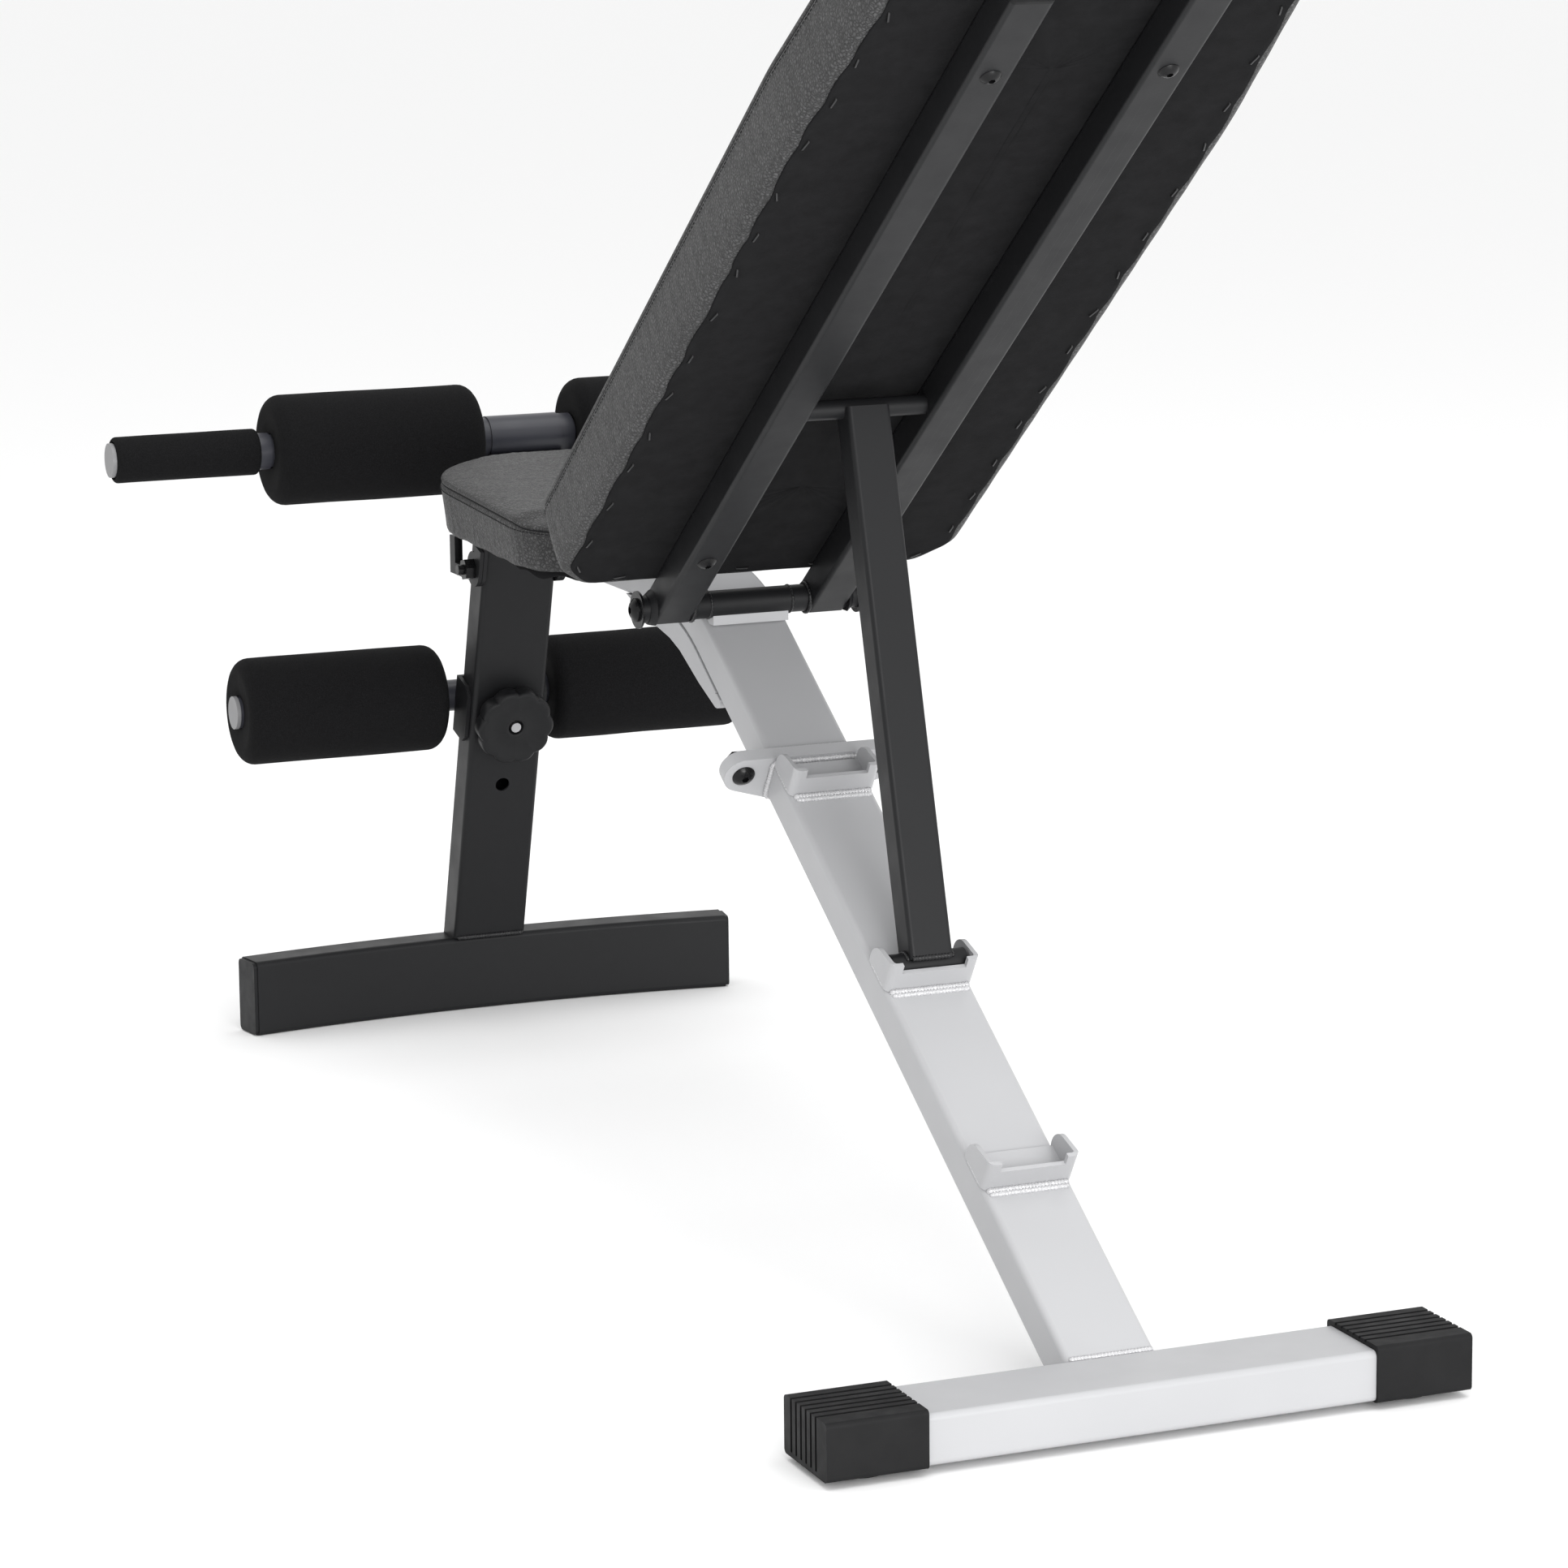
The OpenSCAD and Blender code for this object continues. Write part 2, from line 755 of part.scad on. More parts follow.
// packing block that carries the hinge sleeve on the bend of the rail
module pivot_saddle() {
    color(silver) difference() {
        translate([-half_w + 2, pivot_y - 11, pivot_z - 14]) cube([tube_w - 4, 17, 12]);
        translate([0, pivot_y, pivot_z]) x_rod(sleeve_od / 2, far);
        translate([0, rail_bend_y, rail_top - rail_bend_r]) x_rod(rail_bend_r, far);
        leg_frame() translate([-far / 2, -far, 0]) cube([far, far, 2 * far]);
    }
}

module pivot_sleeve() {
    color(charcoal) translate([0, pivot_y, pivot_z]) difference() {
        x_rod(sleeve_od / 2, half_w);
        x_rod(axle_r, far);
    }
}

module pivot_axle() {
    color(zinc) translate([0, pivot_y, pivot_z]) difference() {
        x_rod(axle_r, bush_end + gap);
        for (side = [-1, 1]) translate([side * (bush_end + gap), 0, 0]) x_rod(m8_r, 20);
    }
}

module pivot_washers() {
    color(zinc) translate([0, pivot_y, pivot_z]) both_sides() difference() {
        x_disc(washer_r, bush_end + gap, bush_end + gap + washer_t);
        x_rod(m8_r, far);
    }
}

module pivot_end_bolts() {
    color(black_steel) translate([0, pivot_y, pivot_z]) both_sides() {
        x_disc(m8_r, bush_end - 17, bush_end + gap + washer_t);
        translate([bush_end + gap + washer_t, 0, 0]) rotate([0, 90, 0]) button_head(8.2, 5.5, 2.8);
    }
}

// ---- back ----

// rectangular tube under the back, cut level at its foot and swelling outwards round the hinge bush
module back_tube() {
    mid = tube_back_y - back_tube_d / 2;
    inner = back_tube_x - back_tube_w / 2;
    color(charcoal) difference() {
        union() {
            back_frame(-30) translate([back_tube_x, mid, 0]) linear_extrude(back_tube_len + 30)
                tube_section(back_tube_w, back_tube_d, back_tube_wall, 3);
            translate([inner + back_tube_w, pivot_y, pivot_z]) rotate([0, 90, 0])
                cylinder(r1 = sleeve_od / 2 + 4, r2 = sleeve_od / 2 + 0.6, h = 4);
        }
        translate([-far / 2, pivot_y - far, pivot_z - far - sleeve_od / 2 - 1.2]) cube([far, 2 * far, far]);
        translate([0, pivot_y, pivot_z]) x_rod(sleeve_od / 2, far);
        back_frame(strut_top_s) translate([0, top_bar_y, 0])
            x_disc(top_bar_r + 0.08, 0, inner + back_tube_w - back_tube_wall);
        for (i = [0, 1]) back_frame(back_bolt_s + i * back_bolt_pitch) translate([back_tube_x, 0, 0])
            rotate([90, 0, 0]) cylinder(r = 3.3, h = far, center = true);
    }
}

module back_tube_left() { back_tube(); }

module back_tube_right() { mirror([1, 0, 0]) back_tube(); }

// bushes welded through the back tubes, turning on the axle
module back_pivot_bushes() {
    color(charcoal) translate([0, pivot_y, pivot_z]) both_sides() difference() {
        x_disc(sleeve_od / 2, half_w + gap, bush_end);
        x_rod(axle_r + 0.05, far);
    }
}

module back_tube_plugs() {
    color(rubber) back_frame(back_tube_len) both_sides()
        translate([back_tube_x, tube_back_y - back_tube_d / 2, 0]) {
            linear_extrude(2.5) round_rect(back_tube_w, back_tube_d, 3);
            translate([0, 0, -12]) linear_extrude(12)
                round_rect(back_tube_w - 2 * back_tube_wall, back_tube_d - 2 * back_tube_wall, 1);
        }
}

// outline of the back pad: parallel sides, a narrower head with round corners, lower corners cut off
module back_outline(inset) {
    w = back_w - 2 * inset;
    len = back_len - 2 * inset;
    difference() {
        intersection() {
            pad_outline(w, len, 1, back_head_r - inset);
            polygon([[-w / 2, 0], [w / 2, 0], [w / 2, -len + back_taper_len], [w / 2 - back_taper, -len],
                [-w / 2 + back_taper, -len], [-w / 2, -len + back_taper_len]]);
        }
        for (side = [-1, 1]) scale([side, 1]) translate([w / 2, 0])
            chamfer_cut(back_chamfer - inset * (2 - sqrt(2)), back_chamfer_r - inset);
    }
}

// what is cut from a corner at the origin to chamfer it at 45 degrees, with both ends of the cut rounded
module chamfer_cut(leg, r) {
    end = leg + r * tan(22.5);
    q = r * sin(45);
    difference() {
        translate([-end, -end]) square(end + 1);
        translate([-end, -r]) circle(r);
        translate([-r, -end]) circle(r);
        polygon([[-end, 0], [q - end, q - r], [q - r, q - end], [0, -end], [-end, -end]]);
    }
}

// extrudes a back outline from depth near to depth deep, measured from the back tubes' front faces
module back_slab(inset, near, deep) {
    back_frame(back_start + inset) translate([0, tube_back_y - back_tube_d - near, 0])
        mirror([0, 0, 1]) rotate([90, 0, 0]) linear_extrude(deep - near) back_outline(inset);
}

module back_board() {
    color(ply) difference() {
        back_slab(board_inset, 0, board_t);
        for (x = [-1, 1], i = [0, 1]) back_frame(back_bolt_s + i * back_bolt_pitch)
            translate([x * back_tube_x, 0, 0]) rotate([90, 0, 0]) cylinder(r = 3.3, h = far, center = true);
    }
}

module back_cushion() {
    color(vinyl) difference() {
        union() {
            back_slab(0, 0, back_thick);
            back_slab(12, back_thick, back_thick + 4);
        }
        back_slab(board_inset, -1, board_t);
    }
}

module back_bolts() {
    color(black_steel) both_sides() for (i = [0, 1])
        back_frame(back_bolt_s + i * back_bolt_pitch) translate([back_tube_x, tube_back_y, 0]) {
            rotate([-90, 0, 0]) button_head(6.6, 3.6, 2.2);
            rotate([90, 0, 0]) cylinder(r = 3.1, h = back_tube_d + board_t - 1);
        }
}

// ---- prop strut ----

module strut_tube() {
    start = 3;
    color(charcoal) strut_frame() difference() {
        translate([0, 0, start]) linear_extrude(strut_len - start) tube_section(strut_w, strut_d, 2, 3);
        x_rod(catch_bar_r, far);
        translate([0, 0, strut_len]) x_rod(top_bar_r, far);
    }
}

module strut_top_bar() {
    color(charcoal) translate([0, strut_top[0], strut_top[1]])
        x_rod(top_bar_r, back_tube_x + back_tube_w / 2 - back_tube_wall - 0.5);
}

module strut_foot_bar() {
    color(charcoal) translate([0, strut_foot[0], strut_foot[1]]) x_rod(catch_bar_r, foot_bar_half);
}

seat_rail();
upper_leg_tube();
leg_gusset();
upper_flange();
lower_flange();
flange_bolts();
flange_nuts();
lower_leg_tube();
catch_top();
catch_middle();
catch_bottom();
rear_foot_tube();
rear_cap_left();
rear_cap_right();
rear_foot_pads();
front_post();
front_foot();
front_foot_plugs();
bar_sleeve();
upper_bar();
bar_collars();
grip_left();
grip_right();
upper_bar_plugs();
upper_roller_left();
upper_roller_right();
carriage_bracket();
lower_bar();
lower_bar_plugs();
lower_roller_left();
lower_roller_right();
knob_stud();
star_knob();
rail_fork_plates();
post_bolt();
post_bolt_nut();
front_bracket();
seat_brackets();
seat_board();
seat_cushion();
seat_bolts();
pivot_saddle();
pivot_sleeve();
pivot_axle();
pivot_washers();
pivot_end_bolts();
back_tube_left();
back_tube_right();
back_pivot_bushes();
back_tube_plugs();
back_board();
back_cushion();
back_bolts();
strut_tube();
strut_top_bar();
strut_foot_bar();
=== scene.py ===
"""Visual model of the sit-up bench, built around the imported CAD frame."""
import math
import random

import bpy
import numpy as np
from mathutils import Matrix, Vector, noise


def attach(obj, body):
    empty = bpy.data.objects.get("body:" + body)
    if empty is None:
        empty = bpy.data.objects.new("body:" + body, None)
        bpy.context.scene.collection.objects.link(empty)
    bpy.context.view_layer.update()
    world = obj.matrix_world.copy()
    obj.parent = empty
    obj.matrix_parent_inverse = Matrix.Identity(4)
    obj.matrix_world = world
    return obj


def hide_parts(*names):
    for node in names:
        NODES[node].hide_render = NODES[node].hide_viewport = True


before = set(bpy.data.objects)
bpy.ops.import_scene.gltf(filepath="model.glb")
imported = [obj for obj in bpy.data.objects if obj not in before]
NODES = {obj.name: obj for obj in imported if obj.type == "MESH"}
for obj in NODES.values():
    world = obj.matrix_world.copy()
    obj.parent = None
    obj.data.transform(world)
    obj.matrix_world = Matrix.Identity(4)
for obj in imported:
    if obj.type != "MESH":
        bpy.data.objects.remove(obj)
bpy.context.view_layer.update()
MM = 0.001
AXIS_Z = Vector((0, 0, 1))

# ---------------------------------------------------------------- camera and stage

CAMERA_AT = Vector((1.2827, 3.1505, 0.9600))
CAMERA_TURN = math.radians(21.71)
CAMERA_DIP = math.radians(10.44)
CAMERA_ROLL = math.radians(-0.73)


def add_camera():
    """Camera at the photograph's viewing angle."""
    data = bpy.data.cameras.new("camera")
    data.lens = 114.62
    data.sensor_width = 36
    data.shift_x = 0.0403
    data.shift_y = -0.0398
    back = Vector((
        math.sin(CAMERA_TURN) * math.cos(CAMERA_DIP),
        math.cos(CAMERA_TURN) * math.cos(CAMERA_DIP),
        math.sin(CAMERA_DIP),
    ))
    right = AXIS_Z.cross(back).normalized()
    up = back.cross(right)
    rolled_right = right * math.cos(CAMERA_ROLL) + up * math.sin(CAMERA_ROLL)
    rolled_up = up * math.cos(CAMERA_ROLL) - right * math.sin(CAMERA_ROLL)
    camera = bpy.data.objects.new("camera", data)
    camera.matrix_world = Matrix.Translation(CAMERA_AT) @ Matrix(
        (rolled_right, rolled_up, back)).transposed().to_4x4()
    bpy.context.scene.collection.objects.link(camera)
    bpy.context.scene.camera = camera


def add_area(name, at, towards, size, power):
    """Rectangular light at a place, turned towards a point."""
    light = bpy.data.lights.new(name, "AREA")
    light.shape = "RECTANGLE"
    light.size, light.size_y = size
    light.energy = power
    lamp = bpy.data.objects.new(name, light)
    lamp.location = at
    lamp.rotation_euler = (Vector(towards) - Vector(at)).to_track_quat("-Z", "Y").to_euler()
    bpy.context.scene.collection.objects.link(lamp)


def add_stage():
    """Plain pale floor, white surroundings and soft studio light."""
    world = bpy.data.worlds.new("studio")
    world.use_nodes = True
    sky = world.node_tree.nodes["Background"]
    sky.inputs["Color"].default_value = (1.0, 1.0, 1.0, 1.0)
    sky.inputs["Strength"].default_value = 1.0
    bpy.context.scene.world = world
    bpy.context.scene.view_settings.view_transform = "Standard"

    mesh = bpy.data.meshes.new("floor")
    reach = 30.0
    mesh.from_pydata([(-reach, -reach, 0), (reach, -reach, 0), (reach, reach, 0), (-reach, reach, 0)],
                     [], [(0, 1, 2, 3)])
    floor = bpy.data.objects.new("floor", mesh)
    bpy.context.scene.collection.objects.link(floor)
    floor.data.materials.append(MATERIALS["floor"])

    add_area("front", (0.3, 4.4, 1.3), (0, 0, 0.35), (2.6, 2.0), 75)
    add_area("side", (-2.6, 1.8, 1.6), (0, 0, 0.4), (1.6, 1.6), 10)
    add_area("low", (-0.2, 3.1, 0.45), (0, 0.1, 0.4), (1.4, 0.7), 22)
    add_area("top", (0, 0.5, 3.4), (0, 0, 0.3), (3.0, 3.0), 50)


# ---------------------------------------------------------------- materials

MATERIALS = {}


class Shader:
    """Small helper that builds one node-based material."""

    def __init__(self, name, colour, roughness, metallic=0.0, specular=0.5):
        self.material = bpy.data.materials.new(name)
        self.material.use_nodes = True
        self.tree = self.material.node_tree
        self.surface = self.tree.nodes["Principled BSDF"]
        self.surface.inputs["Base Color"].default_value = (*colour, 1.0)
        self.surface.inputs["Roughness"].default_value = roughness
        self.surface.inputs["Metallic"].default_value = metallic
        self.surface.inputs["Specular IOR Level"].default_value = specular
        self.colour = colour
        self.height = None
        self.place = self.node("ShaderNodeTexCoord").outputs["Object"]
        MATERIALS[name] = self.material

    def node(self, kind, **settings):
        made = self.tree.nodes.new(kind)
        for key, value in settings.items():
            setattr(made, key, value)
        return made

    def link(self, source, target):
        self.tree.links.new(source, target)

    def noise(self, scale, detail=3.0, rough=0.5, vector=None):
        made = self.node("ShaderNodeTexNoise")
        made.inputs["Scale"].default_value = scale
        made.inputs["Detail"].default_value = detail
        made.inputs["Roughness"].default_value = rough
        self.link(vector or self.place, made.inputs["Vector"])
        return made.outputs["Fac"]

    def cells(self, scale, feature="F1", vector=None):
        made = self.node("ShaderNodeTexVoronoi", feature=feature)
        made.inputs["Scale"].default_value = scale
        self.link(vector or self.place, made.inputs["Vector"])
        return made.outputs["Distance"]

    def remap(self, value, low, high, to_low, to_high):
        made = self.node("ShaderNodeMapRange")
        for key, number in (("From Min", low), ("From Max", high), ("To Min", to_low), ("To Max", to_high)):
            made.inputs[key].default_value = number
        self.link(value, made.inputs["Value"])
        return made.outputs["Result"]

    def maths(self, operation, a, b):
        made = self.node("ShaderNodeMath", operation=operation)
        for socket, value in zip(made.inputs, (a, b)):
            if isinstance(value, (int, float)):
                socket.default_value = value
            else:
                self.link(value, socket)
        return made.outputs["Value"]

    def mix(self, factor, first, second):
        """Colour blended between two colours (triples or sockets)."""
        made = self.node("ShaderNodeMix", data_type="RGBA")
        self.link(factor, made.inputs["Factor"])
        for socket, value in ((made.inputs["A"], first), (made.inputs["B"], second)):
            if isinstance(value, tuple):
                socket.default_value = (*value, 1.0)
            else:
                self.link(value, socket)
        return made.outputs["Result"]

    def vary_colour(self, value, low, high):
        """Base colour scaled from low to high by a 0 to 1 value."""
        dark = tuple(c * low for c in self.colour)
        light = tuple(min(1.0, c * high) for c in self.colour)
        self.link(self.mix(value, dark, light), self.surface.inputs["Base Color"])

    def vary_roughness(self, value, low, high):
        self.link(self.remap(value, 0.3, 0.7, low, high), self.surface.inputs["Roughness"])

    def bump(self, value, distance, strength=1.0):
        made = self.node("ShaderNodeBump")
        made.inputs["Distance"].default_value = distance
        made.inputs["Strength"].default_value = strength
        self.link(value, made.inputs["Height"])
        if self.height is not None:
            self.link(self.height, made.inputs["Normal"])
        self.height = made.outputs["Normal"]
        self.link(self.height, self.surface.inputs["Normal"])


def paint(name, colour, roughness, peel, specular=0.5):
    """Sprayed powder coat: faint orange peel and a little variation in tone and gloss."""
    shader = Shader(name, colour, roughness, specular=specular)
    shader.vary_colour(shader.noise(9, 2), 0.94, 1.05)
    shader.vary_roughness(shader.noise(45, 3), roughness - 0.04, roughness + 0.05)
    shader.bump(shader.noise(650, 2), 0.00005, peel)
    shader.bump(shader.noise(35, 1), 0.0004, 0.12)
    return shader


def build_materials():
    """Every material of the bench, and the floor's."""
    paint("silver_paint", (0.40, 0.402, 0.412), 0.38, 0.25, 0.35)
    paint("charcoal_paint", (0.0102, 0.0104, 0.0113), 0.44, 0.5, 0.2)
    paint("slate_paint", (0.034, 0.035, 0.044), 0.34, 0.4, 0.4)

    foam = Shader("foam", (0.0052, 0.0052, 0.0056), 0.95, specular=0.12)
    speckle = foam.noise(1700, 2, 0.7)
    foam.vary_colour(foam.remap(speckle, 0.42, 0.72, 0, 1), 0.7, 2.1)
    foam.bump(foam.cells(1500), 0.0003, 0.6)
    foam.bump(foam.noise(60, 3), 0.0012, 0.25)

    rubber = Shader("rubber", (0.0085, 0.0085, 0.009), 0.6, specular=0.16)
    rubber.vary_colour(rubber.noise(25, 4), 0.8, 1.3)
    rubber.vary_roughness(rubber.noise(60, 4), 0.5, 0.68)
    rubber.bump(rubber.noise(900, 3), 0.00008, 0.5)

    vinyl("vinyl", (0.066, 0.066, 0.067))

    cloth = Shader("backing_cloth", (0.0082, 0.0082, 0.0088), 0.95, specular=0.12)
    fibres = cloth.noise(2200, 4, 0.7)
    cloth.vary_colour(cloth.remap(cloth.noise(70, 5, 0.65), 0.3, 0.7, 0, 1), 0.8, 1.25)
    cloth.bump(fibres, 0.0003, 0.5)
    cloth.bump(cloth.noise(240, 3), 0.0004, 0.3)

    ply = Shader("plywood", (0.36, 0.24, 0.14), 0.75)
    ply.vary_colour(ply.noise(40, 5), 0.75, 1.15)
    ply.bump(ply.noise(400, 4), 0.0002, 0.5)

    bolt = Shader("black_steel", (0.005, 0.005, 0.0055), 0.3, specular=0.22)
    bolt.vary_roughness(bolt.noise(150, 3), 0.18, 0.34)
    bolt.bump(bolt.noise(900, 2), 0.00004, 0.4)

    grey = Shader("grey_plastic", (0.20, 0.20, 0.205), 0.45)
    grey.vary_colour(grey.noise(80, 3), 0.9, 1.1)
    grey.bump(grey.noise(1100, 2), 0.00005, 0.5)

    black = Shader("black_plastic", (0.0075, 0.0077, 0.0085), 0.34, specular=0.22)
    black.vary_roughness(black.noise(90, 3), 0.36, 0.5)
    black.bump(black.noise(1300, 3), 0.00006, 0.6)

    plug = Shader("charcoal_plastic", (0.0102, 0.0104, 0.0113), 0.5, specular=0.2)
    plug.vary_roughness(plug.noise(90, 3), 0.42, 0.55)
    plug.bump(plug.noise(1100, 3), 0.00006, 0.6)

    zinc = Shader("zinc_steel", (0.42, 0.42, 0.43), 0.32, metallic=0.9)
    zinc.vary_roughness(zinc.noise(300, 4), 0.25, 0.45)
    zinc.bump(zinc.noise(1200, 3), 0.00004, 0.5)

    weld = Shader("weld_metal", (0.52, 0.52, 0.53), 0.22, metallic=0.25)
    weld.vary_roughness(weld.noise(420, 3), 0.12, 0.42)
    weld.bump(weld.noise(520, 3, 0.6), 0.0009, 0.9)

    dark_weld = Shader("dark_weld", (0.012, 0.012, 0.013), 0.3, specular=0.35)
    dark_weld.vary_roughness(dark_weld.noise(420, 3), 0.2, 0.42)
    dark_weld.bump(dark_weld.noise(520, 3, 0.6), 0.0007, 0.8)

    thread = Shader("thread", (0.016, 0.016, 0.017), 0.8, specular=0.15)
    thread.vary_colour(thread.noise(1500, 2), 0.7, 1.3)
    thread.bump(thread.noise(3000, 1), 0.0001, 0.5)

    staple = Shader("staple_wire", (0.030, 0.030, 0.031), 0.45, specular=0.3)
    staple.vary_roughness(staple.noise(500, 2), 0.38, 0.52)

    floor = Shader("floor", (0.92, 0.92, 0.92), 0.9)
    floor.bump(floor.noise(8, 2), 0.0002, 0.1)


def vinyl(name, colour):
    """Grained artificial leather: pebbles with fine creases between them, the creases darkened with painted
    shade.
    """
    shader = Shader(name, colour, 0.5, specular=0.3)
    warp = shader.node("ShaderNodeVectorMath", operation="MULTIPLY_ADD")
    drift = shader.node("ShaderNodeTexNoise")
    drift.inputs["Scale"].default_value = 130
    shader.link(shader.place, drift.inputs["Vector"])
    shader.link(drift.outputs["Color"], warp.inputs[0])
    warp.inputs[1].default_value = (0.003, 0.003, 0.003)
    shader.link(shader.place, warp.inputs[2])
    warped = warp.outputs["Vector"]
    coarse = shader.remap(shader.cells(390, "DISTANCE_TO_EDGE", warped), 0.0, 0.42, 0, 1)
    fine = shader.remap(shader.cells(980, "DISTANCE_TO_EDGE", warped), 0.0, 0.3, 0, 1)
    grain_and_crease_shade = shader.maths("ADD", shader.maths("MULTIPLY", coarse, 0.75), shader.maths("MULTIPLY", fine, 0.25))
    patches = shader.remap(shader.noise(16, 3), 0.3, 0.7, 0.84, 1.0)
    # Painted shade: the colour darkens into the creases between the pebbles, standing in for the shade of the
    # grain's bumps.
    shader.vary_colour(shader.maths("MULTIPLY", grain_and_crease_shade, patches), 0.12, 1.75)
    shader.vary_roughness(shader.noise(260, 3), 0.42, 0.56)
    shader.bump(grain_and_crease_shade, 0.0009, 1.0)
    shader.bump(shader.noise(22, 3), 0.0014, 0.25)
    return shader


def dress(material, *names):
    """Gives CAD nodes their material."""
    for name in names:
        data = NODES[name].data
        data.materials.clear()
        data.materials.append(MATERIALS[material])


def dress_frame():
    """Materials of the CAD nodes; soft ones are covered by their Blender pieces."""
    dress("silver_paint", "seat_rail", "upper_leg_tube", "leg_gusset", "upper_flange", "lower_flange",
          "lower_leg_tube", "catch_top", "catch_middle", "catch_bottom", "rear_foot_tube", "pivot_saddle")
    dress("charcoal_paint", "front_post", "front_foot", "carriage_bracket", "rail_fork_plates",
          "front_bracket", "seat_brackets", "pivot_sleeve", "back_tube_left", "back_tube_right",
          "back_pivot_bushes", "strut_tube", "strut_top_bar", "strut_foot_bar")
    dress("slate_paint", "bar_sleeve", "upper_bar", "bar_collars", "lower_bar")
    dress("foam", "grip_left", "grip_right", "upper_roller_left", "upper_roller_right",
          "lower_roller_left", "lower_roller_right")
    dress("rubber", "rear_cap_left", "rear_cap_right", "rear_foot_pads", "back_tube_plugs")
    dress("charcoal_plastic", "front_foot_plugs")
    dress("vinyl", "seat_cushion", "back_cushion")
    dress("backing_cloth", "seat_board", "back_board")
    dress("black_steel", "flange_bolts", "flange_nuts", "post_bolt", "post_bolt_nut", "seat_bolts",
          "pivot_end_bolts", "pivot_washers", "back_bolts")
    dress("grey_plastic", "upper_bar_plugs", "lower_bar_plugs")
    dress("black_plastic", "star_knob")
    dress("zinc_steel", "knob_stud", "pivot_axle")


# ---------------------------------------------------------------- building blocks

def cad_frame(y, z, degrees):
    """Matrix from one of the CAD's tilted local frames, in millimetres, to the world in metres."""
    turn = Matrix.Rotation(math.radians(degrees), 4, "X")
    return Matrix.Translation((0, y * MM, z * MM)) @ turn @ Matrix.Scale(MM, 4)


LEG = cad_frame(552, 36, 57.5)
POST = cad_frame(-582, 60, -16.3)
SEAT = cad_frame(-101, 431.5, -3)
BACK = cad_frame(-18, 414.5, -52.8)
STRUT = cad_frame(282.34, 221.31, 15.53)
LEVEL = cad_frame(0, 0, 0)

# each bar's axis in the post's frame: depth and distance up the post
UPPER_BAR = (-23.3, 429)
LOWER_BAR = (-45.8, 197)
# the backrest's hinge axis in the level frame: y and z
HINGE = (-18, 414.5)


def place(points, matrix):
    """Points in a local frame, taken to the world."""
    grid = np.array(matrix)
    return np.asarray(points, dtype=float) @ grid[:3, :3].T + grid[:3, 3]


def make_piece(name, points, faces, material, body):
    """One smooth-shaded mesh piece that rides on a CAD body."""
    data = bpy.data.meshes.new(name)
    data.from_pydata([tuple(point) for point in points], [], faces)
    data.validate()
    data.shade_smooth()
    data.materials.append(MATERIALS[material])
    piece = bpy.data.objects.new(name, data)
    bpy.context.scene.collection.objects.link(piece)
    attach(piece, body)
    return piece


def ring_faces(rings, count, first_cap=True, last_cap=True):
    """Quads between successive rings of points, with optional end caps."""
    faces = []
    for ring in range(rings - 1):
        low, high = ring * count, (ring + 1) * count
        for i in range(count):
            j = (i + 1) % count
            faces.append((low + i, low + j, high + j, high + i))
    if first_cap:
        faces.append(tuple(reversed(range(count))))
    if last_cap:
        faces.append(tuple(range((rings - 1) * count, rings * count)))
    return faces


def loop_faces(rings, count):
    """Quads between successive rings of points, and from the last ring back to the first."""
    last = (rings - 1) * count
    faces = ring_faces(rings, count, False, False)
    return faces + [(last + i, last + (i + 1) % count, (i + 1) % count, i) for i in range(count)]


def rounded_outline(corners, spacing):
    """Points and outward directions round a polygon given anticlockwise as (x, y, radius)."""
    arcs = []
    for i, (x, y, radius) in enumerate(corners):
        here = np.array((x, y), dtype=float)
        along = here - np.array(corners[i - 1][:2])
        leaving = np.array(corners[(i + 1) % len(corners)][:2]) - here
        along /= np.linalg.norm(along)
        leaving /= np.linalg.norm(leaving)
        turn = math.atan2(along[0] * leaving[1] - along[1] * leaving[0], float(along @ leaving))
        centre = here - along * radius * math.tan(turn / 2) + radius * np.array((-along[1], along[0]))
        start = math.atan2(-along[0], along[1])
        steps = max(3, math.ceil(radius * turn / spacing))
        angles = [start + turn * k / steps for k in range(steps + 1)]
        arcs.append([(centre + radius * np.array((math.cos(a), math.sin(a))),
                      np.array((math.cos(a), math.sin(a)))) for a in angles])
    points, normals = [], []
    for i, arc in enumerate(arcs):
        for point, normal in arc:
            points.append(point)
            normals.append(normal)
        end, following = arc[-1], arcs[(i + 1) % len(arcs)][0]
        steps = max(1, round(np.linalg.norm(following[0] - end[0]) / spacing))
        for k in range(1, steps):
            points.append(end[0] + (following[0] - end[0]) * k / steps)
            normals.append(end[1])
    return np.array(points), np.array(normals)


def run_length(points):
    """Distance along a closed run of points, and its full length."""
    steps = np.linalg.norm(np.roll(points, -1, axis=0) - points, axis=1)
    return np.concatenate(([0], np.cumsum(steps)[:-1])), float(steps.sum())


def wobble(points, scale, seed):
    """Smooth noise between about -1 and 1 at each point."""
    return np.array([noise.noise(Vector(point) * scale + Vector((seed, 0, 0))) for point in points])


def band(outline, inset, height):
    """One ring of a cushion: the outline moved in by inset, at a height."""
    points, normals = outline
    flat = points - normals * np.reshape(inset, (-1, 1))
    return np.column_stack((flat, np.full(len(flat), 1.0) * height))


def crown(edge, spine, rise, steps):
    """Rings from an edge ring to a spine line, rising towards the middle."""
    low, high = spine
    target = edge.copy()
    target[:, 0] = 0.02 * edge[:, 0]
    target[:, 1] = np.clip(edge[:, 1], low, high)
    rings = []
    for step in range(1, steps + 1):
        share = (step / steps) ** 1.4
        ring = edge + (target - edge) * share
        ring[:, 2] = edge[:, 2] + rise * (1 - (1 - share) ** 2.6)
        rings.append(ring)
    return rings


